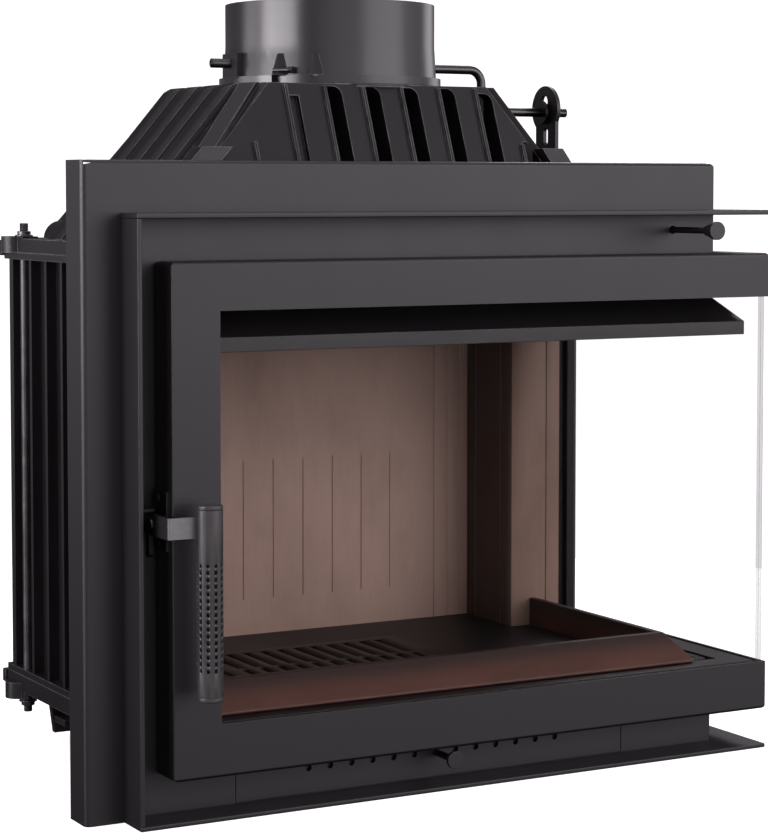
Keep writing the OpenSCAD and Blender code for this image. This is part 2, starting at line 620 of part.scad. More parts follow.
// ---------- flue damper ----------
module damper_shaft() color(C_bright) at() {
  cx(f_y, sh_z, 199, 478, 4.4);
  translate([478, f_y, sh_z - 13.5]) rotate([90, 0, 0]) rotate_extrude(angle = 90) translate([13.5, 0]) circle(4.4, $fn = 32);
  cz(491.5, f_y, sh_z - cr + 13.5, sh_z - 13.5, 4.4);
  translate([505, f_y, sh_z - cr + 13.5]) rotate([90, 0, 0]) rotate([0, 0, 180]) rotate_extrude(angle = 90) translate([13.5, 0]) circle(4.4, $fn = 32);
  cx(f_y, sh_z - cr, 505, 590, 4.4);
}
module tilt() translate([0, f_y, sh_z]) rotate([-disc_rest, 0, 0]) translate([0, -f_y, -sh_z]) children();
module damper_disc() color(C_iron) at() difference() {
  tilt() {
    cz(f_x, f_y, sh_z - 2, sh_z + 2, disc_r);
    cx(f_y, sh_z, f_x - 62, f_x + 62, 9);
  }
  cx(f_y, sh_z, 100, 600, 4.42);
  tilt() for (x = [-45, 45]) cz(f_x + x, f_y, sh_z - 40, sh_z + 40, 2.05);
}
module disc_screws() color(C_bright) at() tilt() for (x = [-45, 45]) {
  cz(f_x + x, f_y, sh_z + 9, sh_z + 12.5, 4.5);
  cz(f_x + x, f_y, sh_z + 4.6, sh_z + 9.5, 2);
}
module crank_washers() color(C_bright) at() difference() {
  union() {
    cx(f_y, sh_z - cr, 560.5, 563, 12);
    cx(f_y, sh_z - cr, 571, 572.8, 10);
    translate([572.8, f_y, sh_z - cr]) rotate([0, 90, 0]) cylinder(r = 7, h = 5.5, $fn = 6);
  }
  cx(f_y, sh_z - cr, 550, 600, 4.42);
}

module damper_knob() color(C_steel) at() difference() {
  union() {
    cy(pr_x, pr_z, -71, -67, 8.5);
    cyc(pr_x, pr_z, -67, -53.5, 8.2, 4.4);
  }
  cy(pr_x, pr_z, -69, -50, 3.02);
}
module damper_rod() color(C_bright) at() cy(pr_x, pr_z, -68.8, 192, 3);
yz = sh_z - cr;
module yoke_plate() color(C_steel) at() difference() {
  union() {
    bx([565, f_y - 21, 493], [569, f_y + 15, yz]);
    cx(f_y - 1, yz + 3, 565, 569, 23.5);
    bx([568, f_y - 2, 493], [612, f_y + 2, 510]);
  }
  bx([560, f_y - 6.4, yz - 3], [575, f_y + 6.4, yz + 10.8]);
  cx(f_y, yz + 10.8, 560, 575, 6.4);
  cx(f_y, yz - 3, 560, 575, 6.4);
  bx([560, f_y - 7, 586], [575, f_y + 1, 595]);
  cx(f_y - 3, 586, 560, 575, 4);
  cx(f_y - 3, 595, 560, 575, 4);
  cy(pr_x, pr_z, f_y - 10, f_y + 10, 3.04);
}
module yoke_nuts() color(C_bright) at() difference() {
  for (y = [f_y - 6.6, f_y + 2.1]) translate([pr_x, y, pr_z]) rotate([-90, 0, 0]) cylinder(r = 5.8, h = 4.5, $fn = 6);
  cy(pr_x, pr_z, 100, 250, 3.02);
}

base_plate();
hearth_plate();
left_wall();
back_wall();
right_column();
front_frame();
top_hood();
flue_spigot();
spigot_bolts();
tie_rods();
tie_rod_nuts();
ash_box();
drawer_runners();
legs();
levelling_feet();
front_plate();
collar_top();
collar_left();
collar_bottom();
grate();
log_guard_front();
log_guard_side();
left_lining();
back_lining();
right_lining();
air_deflector();
smoke_baffle();
hinge_brackets();
hinge_pins();
latch_keeper();
damper_rod_guide();
door_frame();
inner_frame();
front_glass();
side_glass();
glass_seal();
door_seal();
frame_screws();
hinge_leaves();
latch_bracket();
latch_pivot();
latch_lever();
handle_tube();
handle_caps();
drawer_front();
drawer_floor();
drawer_sides();
drawer_ends();
air_knob();
air_rod();
air_shutter();
air_nut();
damper_shaft();
damper_disc();
disc_screws();
crank_washers();
damper_knob();
damper_rod();
yoke_plate();
yoke_nuts();
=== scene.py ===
"""Cast iron fireplace insert with a glazed corner door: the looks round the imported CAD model.

Metres, in the frame of the CAD model: X to the right, Y to the back, Z up, floor at Z = 0.
"""

import json
import math
import random

import bmesh
import bpy
from mathutils import Matrix, Vector

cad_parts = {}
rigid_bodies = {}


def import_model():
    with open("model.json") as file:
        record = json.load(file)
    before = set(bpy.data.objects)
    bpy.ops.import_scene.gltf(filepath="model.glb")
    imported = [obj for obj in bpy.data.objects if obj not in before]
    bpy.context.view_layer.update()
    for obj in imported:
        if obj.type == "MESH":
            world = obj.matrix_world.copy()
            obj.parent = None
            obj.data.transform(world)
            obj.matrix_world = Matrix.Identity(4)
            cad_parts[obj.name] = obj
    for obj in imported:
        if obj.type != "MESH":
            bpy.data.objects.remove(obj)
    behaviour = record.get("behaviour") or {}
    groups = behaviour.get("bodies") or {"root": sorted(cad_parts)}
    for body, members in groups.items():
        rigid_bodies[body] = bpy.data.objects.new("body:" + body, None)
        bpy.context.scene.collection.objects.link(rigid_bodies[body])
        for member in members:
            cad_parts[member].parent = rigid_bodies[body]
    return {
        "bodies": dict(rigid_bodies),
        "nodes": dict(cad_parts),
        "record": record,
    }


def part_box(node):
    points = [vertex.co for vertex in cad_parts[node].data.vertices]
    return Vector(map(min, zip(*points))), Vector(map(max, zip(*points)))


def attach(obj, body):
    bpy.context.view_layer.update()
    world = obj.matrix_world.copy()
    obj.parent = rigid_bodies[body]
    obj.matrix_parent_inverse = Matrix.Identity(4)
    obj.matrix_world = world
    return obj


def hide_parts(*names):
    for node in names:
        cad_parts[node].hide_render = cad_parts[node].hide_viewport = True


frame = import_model()
NODES, BODIES = frame["nodes"], frame["bodies"]
for name in ("Cube", "Light", "Camera"):
    o = bpy.data.objects.get(name)
    if o is not None:
        bpy.data.objects.remove(o, do_unlink=True)
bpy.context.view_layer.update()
random.seed(7)

# local millimetres of the part's drawing -> metres in the row frame
OX, OY = 343.3, 141.25


def P(x, y, z):
    return Vector(((x - OX) / 1000, (y - OY) / 1000, z / 1000))


MM = 0.001

# ------------------------------------------------------------------ camera
cam_data = bpy.data.cameras.new("camera")
cam = bpy.data.objects.new("camera", cam_data)
bpy.context.scene.collection.objects.link(cam)
cam_data.sensor_width = 36.0
cam_data.sensor_fit = "AUTO"
cam_data.lens = 105.126
cam_data.shift_y = -0.1
cam_data.clip_start, cam_data.clip_end = 0.05, 60
yaw, pitch = math.radians(28.837), math.radians(-3.41)
fwd = Vector((math.sin(yaw) * math.cos(pitch), math.cos(yaw) * math.cos(pitch), math.sin(pitch)))
cam.location = (-1.10233, -2.04086, 0.53799)
cam.rotation_mode = "QUATERNION"
cam.rotation_quaternion = fwd.to_track_quat("-Z", "Y")
bpy.context.scene.camera = cam


# ------------------------------------------------------------------ materials
def new_mat(name):
    m = bpy.data.materials.new(name)
    m.use_nodes = True
    nt = m.node_tree
    for n in list(nt.nodes):
        nt.nodes.remove(n)
    out = nt.nodes.new("ShaderNodeOutputMaterial")
    bs = nt.nodes.new("ShaderNodeBsdfPrincipled")
    nt.links.new(bs.outputs[0], out.inputs[0])
    return m, nt, bs


class G:
    """Short forms for building a node tree."""

    def __init__(self, nt):
        self.nt = nt

    def n(self, kind, **kw):
        node = self.nt.nodes.new(kind)
        for k, v in kw.items():
            setattr(node, k, v)
        return node

    def put(self, sock, v):
        if isinstance(v, bpy.types.NodeSocket):
            self.nt.links.new(v, sock)
        else:
            sock.default_value = v

    def coords(self, scale=(1, 1, 1), rot=(0, 0, 0), loc=(0, 0, 0)):
        tc = self.n("ShaderNodeTexCoord")
        mp = self.n("ShaderNodeMapping")
        self.nt.links.new(tc.outputs["Object"], mp.inputs[0])
        mp.inputs["Scale"].default_value = scale
        mp.inputs["Rotation"].default_value = rot
        mp.inputs["Location"].default_value = loc
        return mp.outputs[0]

    def noise(self, vec, scale, detail=2.0, rough=0.5, dist=0.0):
        t = self.n("ShaderNodeTexNoise")
        self.put(t.inputs["Vector"], vec)
        t.inputs["Scale"].default_value = scale
        t.inputs["Detail"].default_value = detail
        t.inputs["Roughness"].default_value = rough
        t.inputs["Distortion"].default_value = dist
        return t.outputs[0]

    def voronoi(self, vec, scale, feature="F1", rnd=1.0):
        t = self.n("ShaderNodeTexVoronoi", feature=feature)
        self.put(t.inputs["Vector"], vec)
        t.inputs["Scale"].default_value = scale
        t.inputs["Randomness"].default_value = rnd
        return t.outputs["Distance"]

    def math(self, op, a, b=0.0, clamp=False):
        t = self.n("ShaderNodeMath", operation=op, use_clamp=clamp)
        self.put(t.inputs[0], a)
        self.put(t.inputs[1], b)
        return t.outputs[0]

    def ramp(self, fac, lo, hi, a=0.0, b=1.0, smooth=True):
        t = self.n("ShaderNodeMapRange", interpolation_type="SMOOTHSTEP" if smooth else "LINEAR")
        self.put(t.inputs["Value"], fac)
        t.inputs["From Min"].default_value = lo
        t.inputs["From Max"].default_value = hi
        t.inputs["To Min"].default_value = a
        t.inputs["To Max"].default_value = b
        return t.outputs[0]

    def mix(self, fac, a, b):
        t = self.n("ShaderNodeMix", data_type="RGBA", blend_type="MIX")
        self.put(t.inputs[0], fac)
        self.put(t.inputs[6], a)
        self.put(t.inputs[7], b)
        return t.outputs[2]

    def bump(self, height, strength, dist, normal=None):
        t = self.n("ShaderNodeBump")
        t.inputs["Strength"].default_value = strength
        t.inputs["Distance"].default_value = dist
        self.put(t.inputs["Height"], height)
        if normal is not None:
            self.put(t.inputs["Normal"], normal)
        return t.outputs[0]

    def edge(self, radius=0.0014):
        """1 on outer edges: where the rounded normal leaves the face's own."""
        bv = self.n("ShaderNodeBevel", samples=4)
        bv.inputs["Radius"].default_value = radius
        ge = self.n("ShaderNodeNewGeometry")
        dot = self.n("ShaderNodeVectorMath", operation="DOT_PRODUCT")
        self.put(dot.inputs[0], bv.outputs[0])
        self.put(dot.inputs[1], ge.outputs["Normal"])
        return self.math("MULTIPLY", self.ramp(dot.outputs["Value"], 0.90, 0.99, 1.0, 0.0), self.ramp(ge.outputs["Pointiness"], 0.50, 0.52))

    def recess_shade(self, dist=0.018):
        """1 deep in inner corners and channels: the mask for painted shade."""
        ao = self.n("ShaderNodeAmbientOcclusion", samples=4, only_local=True)
        ao.inputs["Distance"].default_value = dist
        return self.ramp(ao.outputs["AO"], 0.40, 0.95, 1.0, 0.0)


def col(r, g, b):
    """sRGB 0..255 to linear."""
    def f(c):
        c = c / 255
        return c / 12.92 if c <= 0.04045 else ((c + 0.055) / 1.055) ** 2.4
    return (f(r), f(g), f(b), 1.0)


def paint(name, base, rough=0.42, var=0.025, grain=0.05, edge_wear_highlight=0.5, edge_wear_highlight_col=(0.11, 0.105, 0.11, 1), spec=0.42, peel=260.0):
    """Heat-proof satin paint on sheet steel: fine orange peel, faint clouding and dust, edges lightened a little as
    rubbed paint and as a painted highlight.
    """
    m, nt, bs = new_mat(name)
    g = G(nt)
    c = g.coords()
    cloud = g.noise(c, 3.2, 4.0, 0.5)
    speck = g.noise(c, 900.0, 2.0, 0.6)
    dark = tuple(v * (1 - var) for v in base[:3]) + (1,)
    light = tuple(v * (1 + var) for v in base[:3]) + (1,)
    body = g.mix(g.ramp(cloud, 0.3, 0.7), dark, light)
    body = g.mix(g.math("MULTIPLY", g.ramp(speck, 0.60, 0.78), 0.30), body, tuple(v * 1.5 for v in base[:3]) + (1,))
    # edges lightened: partly rubbed bare, partly a painted highlight along them
    if edge_wear_highlight:
        scuff = g.noise(c, 60.0, 5.0, 0.7)
        mask = g.math("MULTIPLY", g.edge(0.0010), g.ramp(scuff, 0.36, 0.60, 0.35, 1.0))
        body = g.mix(g.math("MULTIPLY", mask, edge_wear_highlight), body, edge_wear_highlight_col)
    nt.links.new(body, bs.inputs["Base Color"])
    streak = g.noise(g.coords(scale=(1, 1, 0.12)), 26.0, 4.0, 0.6)
    r = g.ramp(g.math("ADD", g.math("MULTIPLY", g.noise(c, 11.0, 4.0, 0.6), 0.6), g.math("MULTIPLY", streak, 0.4)), 0.3, 0.7, rough - 0.012, rough + 0.016)
    nt.links.new(r, bs.inputs["Roughness"])
    h = g.math("ADD", g.noise(c, 1500.0, 2.0, 0.6), g.math("MULTIPLY", g.noise(c, peel, 2.0, 0.5), 1.2))
    nt.links.new(g.bump(h, grain, 0.0005), bs.inputs["Normal"])
    bs.inputs["Specular IOR Level"].default_value = spec
    return m


def casting(name, base, rough=0.46, grain=0.3, edge_wear_highlight=0.5, spec=0.42, sooty=0.14, edge_wear_highlight_col=(0.12, 0.115, 0.12, 1)):
    """Sand-cast iron under a thin coat of black: grain, small pits, rubbed high spots that also carry a painted
    highlight, and painted shade in the hollows.
    """
    m, nt, bs = new_mat(name)
    g = G(nt)
    c = g.coords()
    big = g.noise(c, 9.0, 5.0, 0.6)
    fine = g.noise(c, 750.0, 4.0, 0.65)
    pits = g.ramp(g.voronoi(c, 300.0), 0.0, 0.26, 0.0, 1.0)
    dark = tuple(v * (1 - sooty) for v in base[:3]) + (1,)
    light = tuple(v * (1 + sooty * 0.6) for v in base[:3]) + (1,)
    body = g.mix(g.ramp(big, 0.3, 0.7), dark, light)
    body = g.mix(g.math("MULTIPLY", g.ramp(fine, 0.55, 0.8), 0.4), body, tuple(v * 1.6 for v in base[:3]) + (1,))
    # inner corners and channels darkened: painted shade
    body = g.mix(g.math("MULTIPLY", g.recess_shade(), 0.6), body, tuple(v * 0.3 for v in base[:3]) + (1,))
    # edges lightened: partly rubbed bare, partly a painted highlight
    scuff = g.noise(c, 45.0, 5.0, 0.7)
    mask = g.math("MULTIPLY", g.edge(), g.ramp(scuff, 0.35, 0.65, 0.3, 1.0))
    body = g.mix(g.math("MULTIPLY", mask, edge_wear_highlight), body, edge_wear_highlight_col)
    nt.links.new(body, bs.inputs["Base Color"])
    nt.links.new(g.ramp(big, 0.25, 0.75, rough - 0.02, rough + 0.03), bs.inputs["Roughness"])
    h = g.math("ADD", g.math("MULTIPLY", fine, 0.6), g.math("ADD", g.math("MULTIPLY", pits, 0.3), g.math("MULTIPLY", g.noise(c, 150.0, 3.0, 0.55), 1.1)))
    nt.links.new(g.bump(h, grain, 0.0009), bs.inputs["Normal"])
    bs.inputs["Specular IOR Level"].default_value = spec
    return m


def guard(name, base, low, high):
    """Cast guard coloured reddish brown as a painted fire glow, darker towards its upper edge."""
    m, nt, bs = new_mat(name)
    g = G(nt)
    c = g.coords()
    sep = g.n("ShaderNodeSeparateXYZ")
    nt.links.new(c, sep.inputs[0])
    drift = g.noise(g.coords(scale=(1, 1, 2)), 9.0, 5.0, 0.6)
    fine = g.noise(c, 600.0, 3.0, 0.6)
    # reddish-brown body is a painted fire glow; it turns dark towards the upper edge
    up = g.ramp(g.math("ADD", sep.outputs[2], g.math("MULTIPLY", g.math("SUBTRACT", drift, 0.5), 0.012)), low, high, 0.15, 0.88)
    body = g.mix(g.ramp(drift, 0.3, 0.7), tuple(v * 0.85 for v in base[:3]) + (1,), tuple(v * 1.12 for v in base[:3]) + (1,))
    body = g.mix(up, body, (0.022, 0.014, 0.012, 1))
    # edges lightened: partly rubbed, partly a painted highlight
    body = g.mix(g.math("MULTIPLY", g.edge(), 0.25), body, (0.16, 0.10, 0.085, 1))
    nt.links.new(body, bs.inputs["Base Color"])
    nt.links.new(g.ramp(drift, 0.3, 0.7, 0.42, 0.50), bs.inputs["Roughness"])
    nt.links.new(g.bump(g.math("ADD", fine, g.noise(c, 140.0, 3.0, 0.55)), 0.10, 0.0008), bs.inputs["Normal"])
    bs.inputs["Specular IOR Level"].default_value = 0.35
    return m


def steel(name, base, rough=0.34, brush=(1, 1, 0.02), edge_wear_highlight=0.3, metallic=1.0, grain=0.12):
    """Bare or blackened steel with drawn or turned lines; brush squeezes the noise along the grain."""
    m, nt, bs = new_mat(name)
    g = G(nt)
    c = g.coords(scale=brush)
    lines = g.noise(c, 1400.0, 3.0, 0.7)
    cloud = g.noise(g.coords(), 22.0, 4.0, 0.6)
    body = g.mix(g.ramp(cloud, 0.3, 0.7), tuple(v * 0.78 for v in base[:3]) + (1,), tuple(v * 1.18 for v in base[:3]) + (1,))
    body = g.mix(g.math("MULTIPLY", g.ramp(lines, 0.4, 0.7), 0.3), body, tuple(min(1, v * 1.5) for v in base[:3]) + (1,))
    # edges lightened: partly rubbed bare, partly a painted highlight
    body = g.mix(g.math("MULTIPLY", g.edge(0.0008), edge_wear_highlight), body, (0.42, 0.41, 0.40, 1))
    nt.links.new(body, bs.inputs["Base Color"])
    nt.links.new(g.ramp(g.math("ADD", g.math("MULTIPLY", lines, 0.5), g.math("MULTIPLY", cloud, 0.5)), 0.3, 0.7, rough - 0.07, rough + 0.1), bs.inputs["Roughness"])
    nt.links.new(g.bump(lines, grain, 0.0003), bs.inputs["Normal"])
    bs.inputs["Metallic"].default_value = metallic
    return m


def spigot(name, base, rough, axis, tube_r):
    """Painted smooth on the turned tube, rough on the lugs and ribs standing out of it, whose colour is darkened as
    painted shade.
    """
    m, nt, bs = new_mat(name)
    g = G(nt)
    c = g.coords(loc=(-axis[0], -axis[1], 0))
    sep = g.n("ShaderNodeSeparateXYZ")
    nt.links.new(c, sep.inputs[0])
    rad = g.math("SQRT", g.math("ADD", g.math("POWER", sep.outputs[0], 2.0), g.math("POWER", sep.outputs[1], 2.0)))
    cone = g.math("MULTIPLY", g.math("MAXIMUM", g.math("SUBTRACT", 0.6715, sep.outputs[2]), 0.0), 0.0576)
    over = g.math("SUBTRACT", g.math("SUBTRACT", rad, tube_r), cone)
    out = g.math("MULTIPLY", g.ramp(over, 0.00015, 0.00045), g.ramp(sep.outputs[2], 0.6422, 0.6428))
    cloud = g.noise(c, 4.0, 4.0, 0.5)
    body = g.mix(g.ramp(cloud, 0.3, 0.7), tuple(v * 0.96 for v in base[:3]) + (1,), tuple(v * 1.04 for v in base[:3]) + (1,))
    # lugs and ribs standing out of the tube darkened: painted shade
    body = g.mix(out, body, tuple(v * 0.3 for v in base[:3]) + (1,))
    nt.links.new(body, bs.inputs["Base Color"])
    turned = g.noise(g.coords(scale=(0.05, 0.05, 1)), 700.0, 3.0, 0.6)
    nt.links.new(g.math("ADD", g.math("MULTIPLY", out, 0.45), g.ramp(turned, 0.3, 0.7, rough, rough + 0.004)), bs.inputs["Roughness"])
    cast = g.math("ADD", g.noise(c, 700.0, 3.0, 0.6), g.noise(c, 160.0, 3.0, 0.55))
    h = g.math("ADD", g.math("MULTIPLY", turned, 0.003), g.math("MULTIPLY", g.math("MULTIPLY", cast, out), 0.8))
    nt.links.new(g.bump(h, 0.2, 0.0006), bs.inputs["Normal"])
    bs.inputs["Specular IOR Level"].default_value = 0.52
    return m


def lever(name, base, front, back):
    """Brushed steel bar; the part that reaches back into the latch gap is darkened as painted shade."""
    m, nt, bs = new_mat(name)
    g = G(nt)
    c = g.coords()
    sep = g.n("ShaderNodeSeparateXYZ")
    nt.links.new(c, sep.inputs[0])
    lines = g.noise(g.coords(scale=(0.04, 1, 1)), 1400.0, 3.0, 0.7)
    cloud = g.noise(c, 40.0, 4.0, 0.6)
    gap = g.ramp(g.math("ADD", sep.outputs[1], g.math("MULTIPLY", cloud, 0.0012)), front, back)
    body = g.mix(g.ramp(cloud, 0.3, 0.7), tuple(v * 0.88 for v in base[:3]) + (1,), tuple(v * 1.1 for v in base[:3]) + (1,))
    body = g.mix(g.math("MULTIPLY", g.ramp(lines, 0.4, 0.7), 0.25), body, tuple(min(1, v * 1.5) for v in base[:3]) + (1,))
    # the arm inside the latch gap darkened: painted shade
    body = g.mix(gap, body, (0.012, 0.011, 0.012, 1))
    nt.links.new(body, bs.inputs["Base Color"])
    nt.links.new(g.math("ADD", g.math("MULTIPLY", gap, 0.2), g.ramp(lines, 0.3, 0.7, 0.36, 0.48)), bs.inputs["Roughness"])
    nt.links.new(g.bump(lines, 0.12, 0.0003), bs.inputs["Normal"])
    bs.inputs["Metallic"].default_value = 0.6
    return m


def threaded(name, base, above, below):
    """Turned rod with a rolled thread at both ends: rings in the bump above and below two heights."""
    m, nt, bs = new_mat(name)
    g = G(nt)
    c = g.coords()
    sep = g.n("ShaderNodeSeparateXYZ")
    nt.links.new(c, sep.inputs[0])
    ends = g.math("ADD", g.ramp(sep.outputs[2], above, above + 0.0005), g.ramp(sep.outputs[2], below, below - 0.0005, 0.0, 1.0))
    ring = g.math("SINE", g.math("MULTIPLY", sep.outputs[2], 2 * math.pi / 0.00125))
    cloud = g.noise(c, 30.0, 4.0, 0.6)
    body = g.mix(g.ramp(cloud, 0.3, 0.7), tuple(v * 0.7 for v in base[:3]) + (1,), tuple(v * 1.25 for v in base[:3]) + (1,))
    # thread troughs darkened in colour: painted shade in the grooves
    body = g.mix(g.math("MULTIPLY", ends, g.ramp(ring, -1.0, 0.6, 0.55, 0.0)), body, tuple(v * 0.25 for v in base[:3]) + (1,))
    nt.links.new(body, bs.inputs["Base Color"])
    nt.links.new(g.ramp(cloud, 0.3, 0.7, 0.32, 0.48), bs.inputs["Roughness"])
    nt.links.new(g.bump(g.math("MULTIPLY", ring, ends), 0.6, 0.0006, g.bump(g.noise(c, 900.0, 3.0, 0.6), 0.1, 0.0004)), bs.inputs["Normal"])
    bs.inputs["Metallic"].default_value = 0.8
    return m


def lining(name, base, streak=0.07, sooted=0.0):
    """Fired lining plates, browned by heat: drawn vertical marks and soot clouds."""
    m, nt, bs = new_mat(name)
    g = G(nt)
    c = g.coords(scale=(1, 1, 0.05))
    lines = g.noise(c, 420.0, 4.0, 0.65)
    soot = g.noise(g.coords(scale=(1, 1, 0.6)), 7.0, 6.0, 0.62, 0.4)
    body = g.mix(g.ramp(lines, 0.3, 0.7), tuple(v * (1 - streak) for v in base[:3]) + (1,), tuple(v * (1 + streak) for v in base[:3]) + (1,))
    body = g.mix(g.math("MULTIPLY", g.ramp(soot, 0.45, 0.8), 0.4), body, tuple(v * 0.45 for v in base[:3]) + (1,))
    # faces turned to the left darkened: painted shade
    if sooted:
        ge = g.n("ShaderNodeNewGeometry")
        sx = g.n("ShaderNodeSeparateXYZ")
        nt.links.new(ge.outputs["True Normal"], sx.inputs[0])
        body = g.mix(g.math("MULTIPLY", g.ramp(sx.outputs[0], -0.95, -0.5, 1.0, 0.0), sooted), body, (0.03, 0.017, 0.014, 1))
    nt.links.new(body, bs.inputs["Base Color"])
    nt.links.new(g.ramp(soot, 0.3, 0.7, 0.52, 0.66), bs.inputs["Roughness"])
    h = g.math("ADD", g.math("MULTIPLY", lines, 0.4), g.noise(g.coords(), 500.0, 3.0, 0.6))
    nt.links.new(g.bump(h, 0.12, 0.0005), bs.inputs["Normal"])
    return m


def board(name):
    """Pressed vermiculite board: tan, flaky, with small glinting and dark flakes."""
    m, nt, bs = new_mat(name)
    g = G(nt)
    c = g.coords()
    fl = g.voronoi(c, 320.0)
    v = g.n("ShaderNodeTexVoronoi", feature="F1")
    g.put(v.inputs["Vector"], c)
    v.inputs["Scale"].default_value = 320.0
    hue = g.n("ShaderNodeSeparateColor")
    nt.links.new(v.outputs["Color"], hue.inputs[0])
    body = g.mix(hue.outputs[0], (0.33, 0.24, 0.15, 1), (0.52, 0.42, 0.29, 1))
    body = g.mix(g.ramp(hue.outputs[1], 0.86, 0.95), body, (0.12, 0.09, 0.06, 1))
    body = g.mix(g.math("MULTIPLY", g.ramp(g.noise(c, 8.0, 5.0, 0.6), 0.4, 0.75), 0.5), body, (0.08, 0.065, 0.05, 1))
    nt.links.new(body, bs.inputs["Base Color"])
    bs.inputs["Roughness"].default_value = 0.85
    nt.links.new(g.bump(fl, 0.5, 0.0012), bs.inputs["Normal"])
    return m


def woven(name, base):
    """Braided glass-fibre rope or tape: diagonal weave."""
    m, nt, bs = new_mat(name)
    g = G(nt)
    w1 = g.n("ShaderNodeTexWave", wave_type="BANDS", bands_direction="DIAGONAL")
    g.put(w1.inputs["Vector"], g.coords())
    w1.inputs["Scale"].default_value = 180.0
    w1.inputs["Distortion"].default_value = 1.2
    w2 = g.n("ShaderNodeTexWave", wave_type="BANDS", bands_direction="DIAGONAL")
    g.put(w2.inputs["Vector"], g.coords(scale=(-1, 1, 1)))
    w2.inputs["Scale"].default_value = 180.0
    w2.inputs["Distortion"].default_value = 1.2
    h = g.math("MAXIMUM", w1.outputs[1], w2.outputs[1])
    # weave ridges lighter and grooves darker in colour: painted light and shade of the braid
    body = g.mix(h, tuple(v * 0.5 for v in base[:3]) + (1,), tuple(v * 1.4 for v in base[:3]) + (1,))
    nt.links.new(body, bs.inputs["Base Color"])
    bs.inputs["Roughness"].default_value = 0.9
    nt.links.new(g.bump(h, 0.6, 0.0012), bs.inputs["Normal"])
    return m


def pane(name, tint=(0.985, 0.983, 0.98), edge=False):
    """Clear glass ceramic: what is behind it shows through, gloss by Fresnel, faint smudges in the gloss."""
    m = bpy.data.materials.new(name)
    m.use_nodes = True
    nt = m.node_tree
    for n in list(nt.nodes):
        nt.nodes.remove(n)
    g = G(nt)
    out = g.n("ShaderNodeOutputMaterial")
    tr = g.n("ShaderNodeBsdfTransparent")
    tr.inputs[0].default_value = tint + (1,)
    gl = g.n("ShaderNodeBsdfPrincipled")
    gl.inputs["Base Color"].default_value = (0.02, 0.02, 0.02, 1) if not edge else (0.45, 0.46, 0.46, 1)
    smudge = g.noise(g.coords(), 9.0, 5.0, 0.6)
    nt.links.new(g.ramp(smudge, 0.35, 0.8, 0.02, 0.09), gl.inputs["Roughness"])
    mx = g.n("ShaderNodeMixShader")
    if edge:
        nt.links.new(g.ramp(smudge, 0.3, 0.7, 0.20, 0.26), mx.inputs[0])
    else:
        lw = g.n("ShaderNodeLayerWeight")
        lw.inputs[0].default_value = 0.10
        nt.links.new(g.math("ADD", g.math("MULTIPLY", lw.outputs["Fresnel"], 0.5), 0.012), mx.inputs[0])
    nt.links.new(tr.outputs[0], mx.inputs[1])
    nt.links.new(gl.outputs[0], mx.inputs[2])
    nt.links.new(mx.outputs[0], out.inputs[0])
    return m


SPIGOT_AXIS = P(323.3, 173, 0)[:2]
M = {
    "steel_graphite": paint("graphite_paint", (0.0105, 0.0085, 0.0103, 1), spec=0.52),
    "cast_iron_black": casting("black_casting", (0.0105, 0.0085, 0.0103, 1), spec=0.26),
    "lining_brown": lining("heat_brown_lining", (0.285, 0.185, 0.153, 1), streak=0.03),
    "baffle_tan": board("vermiculite_board"),
    "clear_glass": pane("clear_pane"),
    "seal_black": woven("braided_seal", (0.035, 0.035, 0.036, 1)),
    "handle_steel": steel("blackened_tube", (0.066, 0.062, 0.064, 1), rough=0.36, brush=(1, 1, 0.03), edge_wear_highlight=0.0, metallic=0.55, grain=0.06),
    "fastener_steel": steel("blackened_fastener", (0.085, 0.083, 0.085, 1), rough=0.36, brush=(1, 1, 1), edge_wear_highlight=0.3),
}
# back lining: a lighter copy of the lining colour, painted light
M["lining_rear"] = lining("heat_brown_lining_rear", (0.425, 0.280, 0.226, 1), streak=0.03)
# side lining: its left-turned faces get painted shade
M["lining_sooted"] = lining("heat_brown_lining_side_shaded", (0.270, 0.165, 0.125, 1), streak=0.04, sooted=0.85)
M["guard_iron"] = guard("guard_painted_fire_glow", (0.112, 0.043, 0.030, 1), 0.094, 0.112)
# hood: rib edges strongly lightened as a painted highlight along them, beside rubbed edges; painted shade in its
# channels
M["hood_iron_painted_highlight"] = casting("hood_iron_painted_highlight", (0.0118, 0.0098, 0.0117, 1), rough=0.38, grain=0.14, spec=0.38, edge_wear_highlight=0.9, edge_wear_highlight_col=(0.26, 0.255, 0.26, 1))
M["flue_paint"] = spigot("flue_paint", (0.0205, 0.0188, 0.0204, 1), 0.28, SPIGOT_AXIS, 0.0995)
M["wall_iron"] = casting("wall_iron", (0.0090, 0.0074, 0.0088, 1), rough=0.36, grain=0.14, spec=0.5, edge_wear_highlight=0.6, edge_wear_highlight_col=(0.20, 0.195, 0.20, 1))
# a darker copy of the graphite paint for the latch parts in the gap: painted shade
M["gap_steel_painted_shade"] = paint("gap_steel_painted_shade", (0.0070, 0.0062, 0.0069, 1), rough=0.5, spec=0.3)
M["lever_steel"] = lever("lever_steel", (0.19, 0.185, 0.19, 1), P(0, -59.2, 0)[1], P(0, -57.4, 0)[1])
M["threaded_rod"] = threaded("threaded_rod", (0.085, 0.083, 0.085, 1), 0.478, 0.066)
M["pane_edge"] = pane("pane_edge", tint=(0.70, 0.71, 0.71), edge=True)

slot_of = {s["node"]: s["material_slot"] for s in frame["record"]["subparts"]}


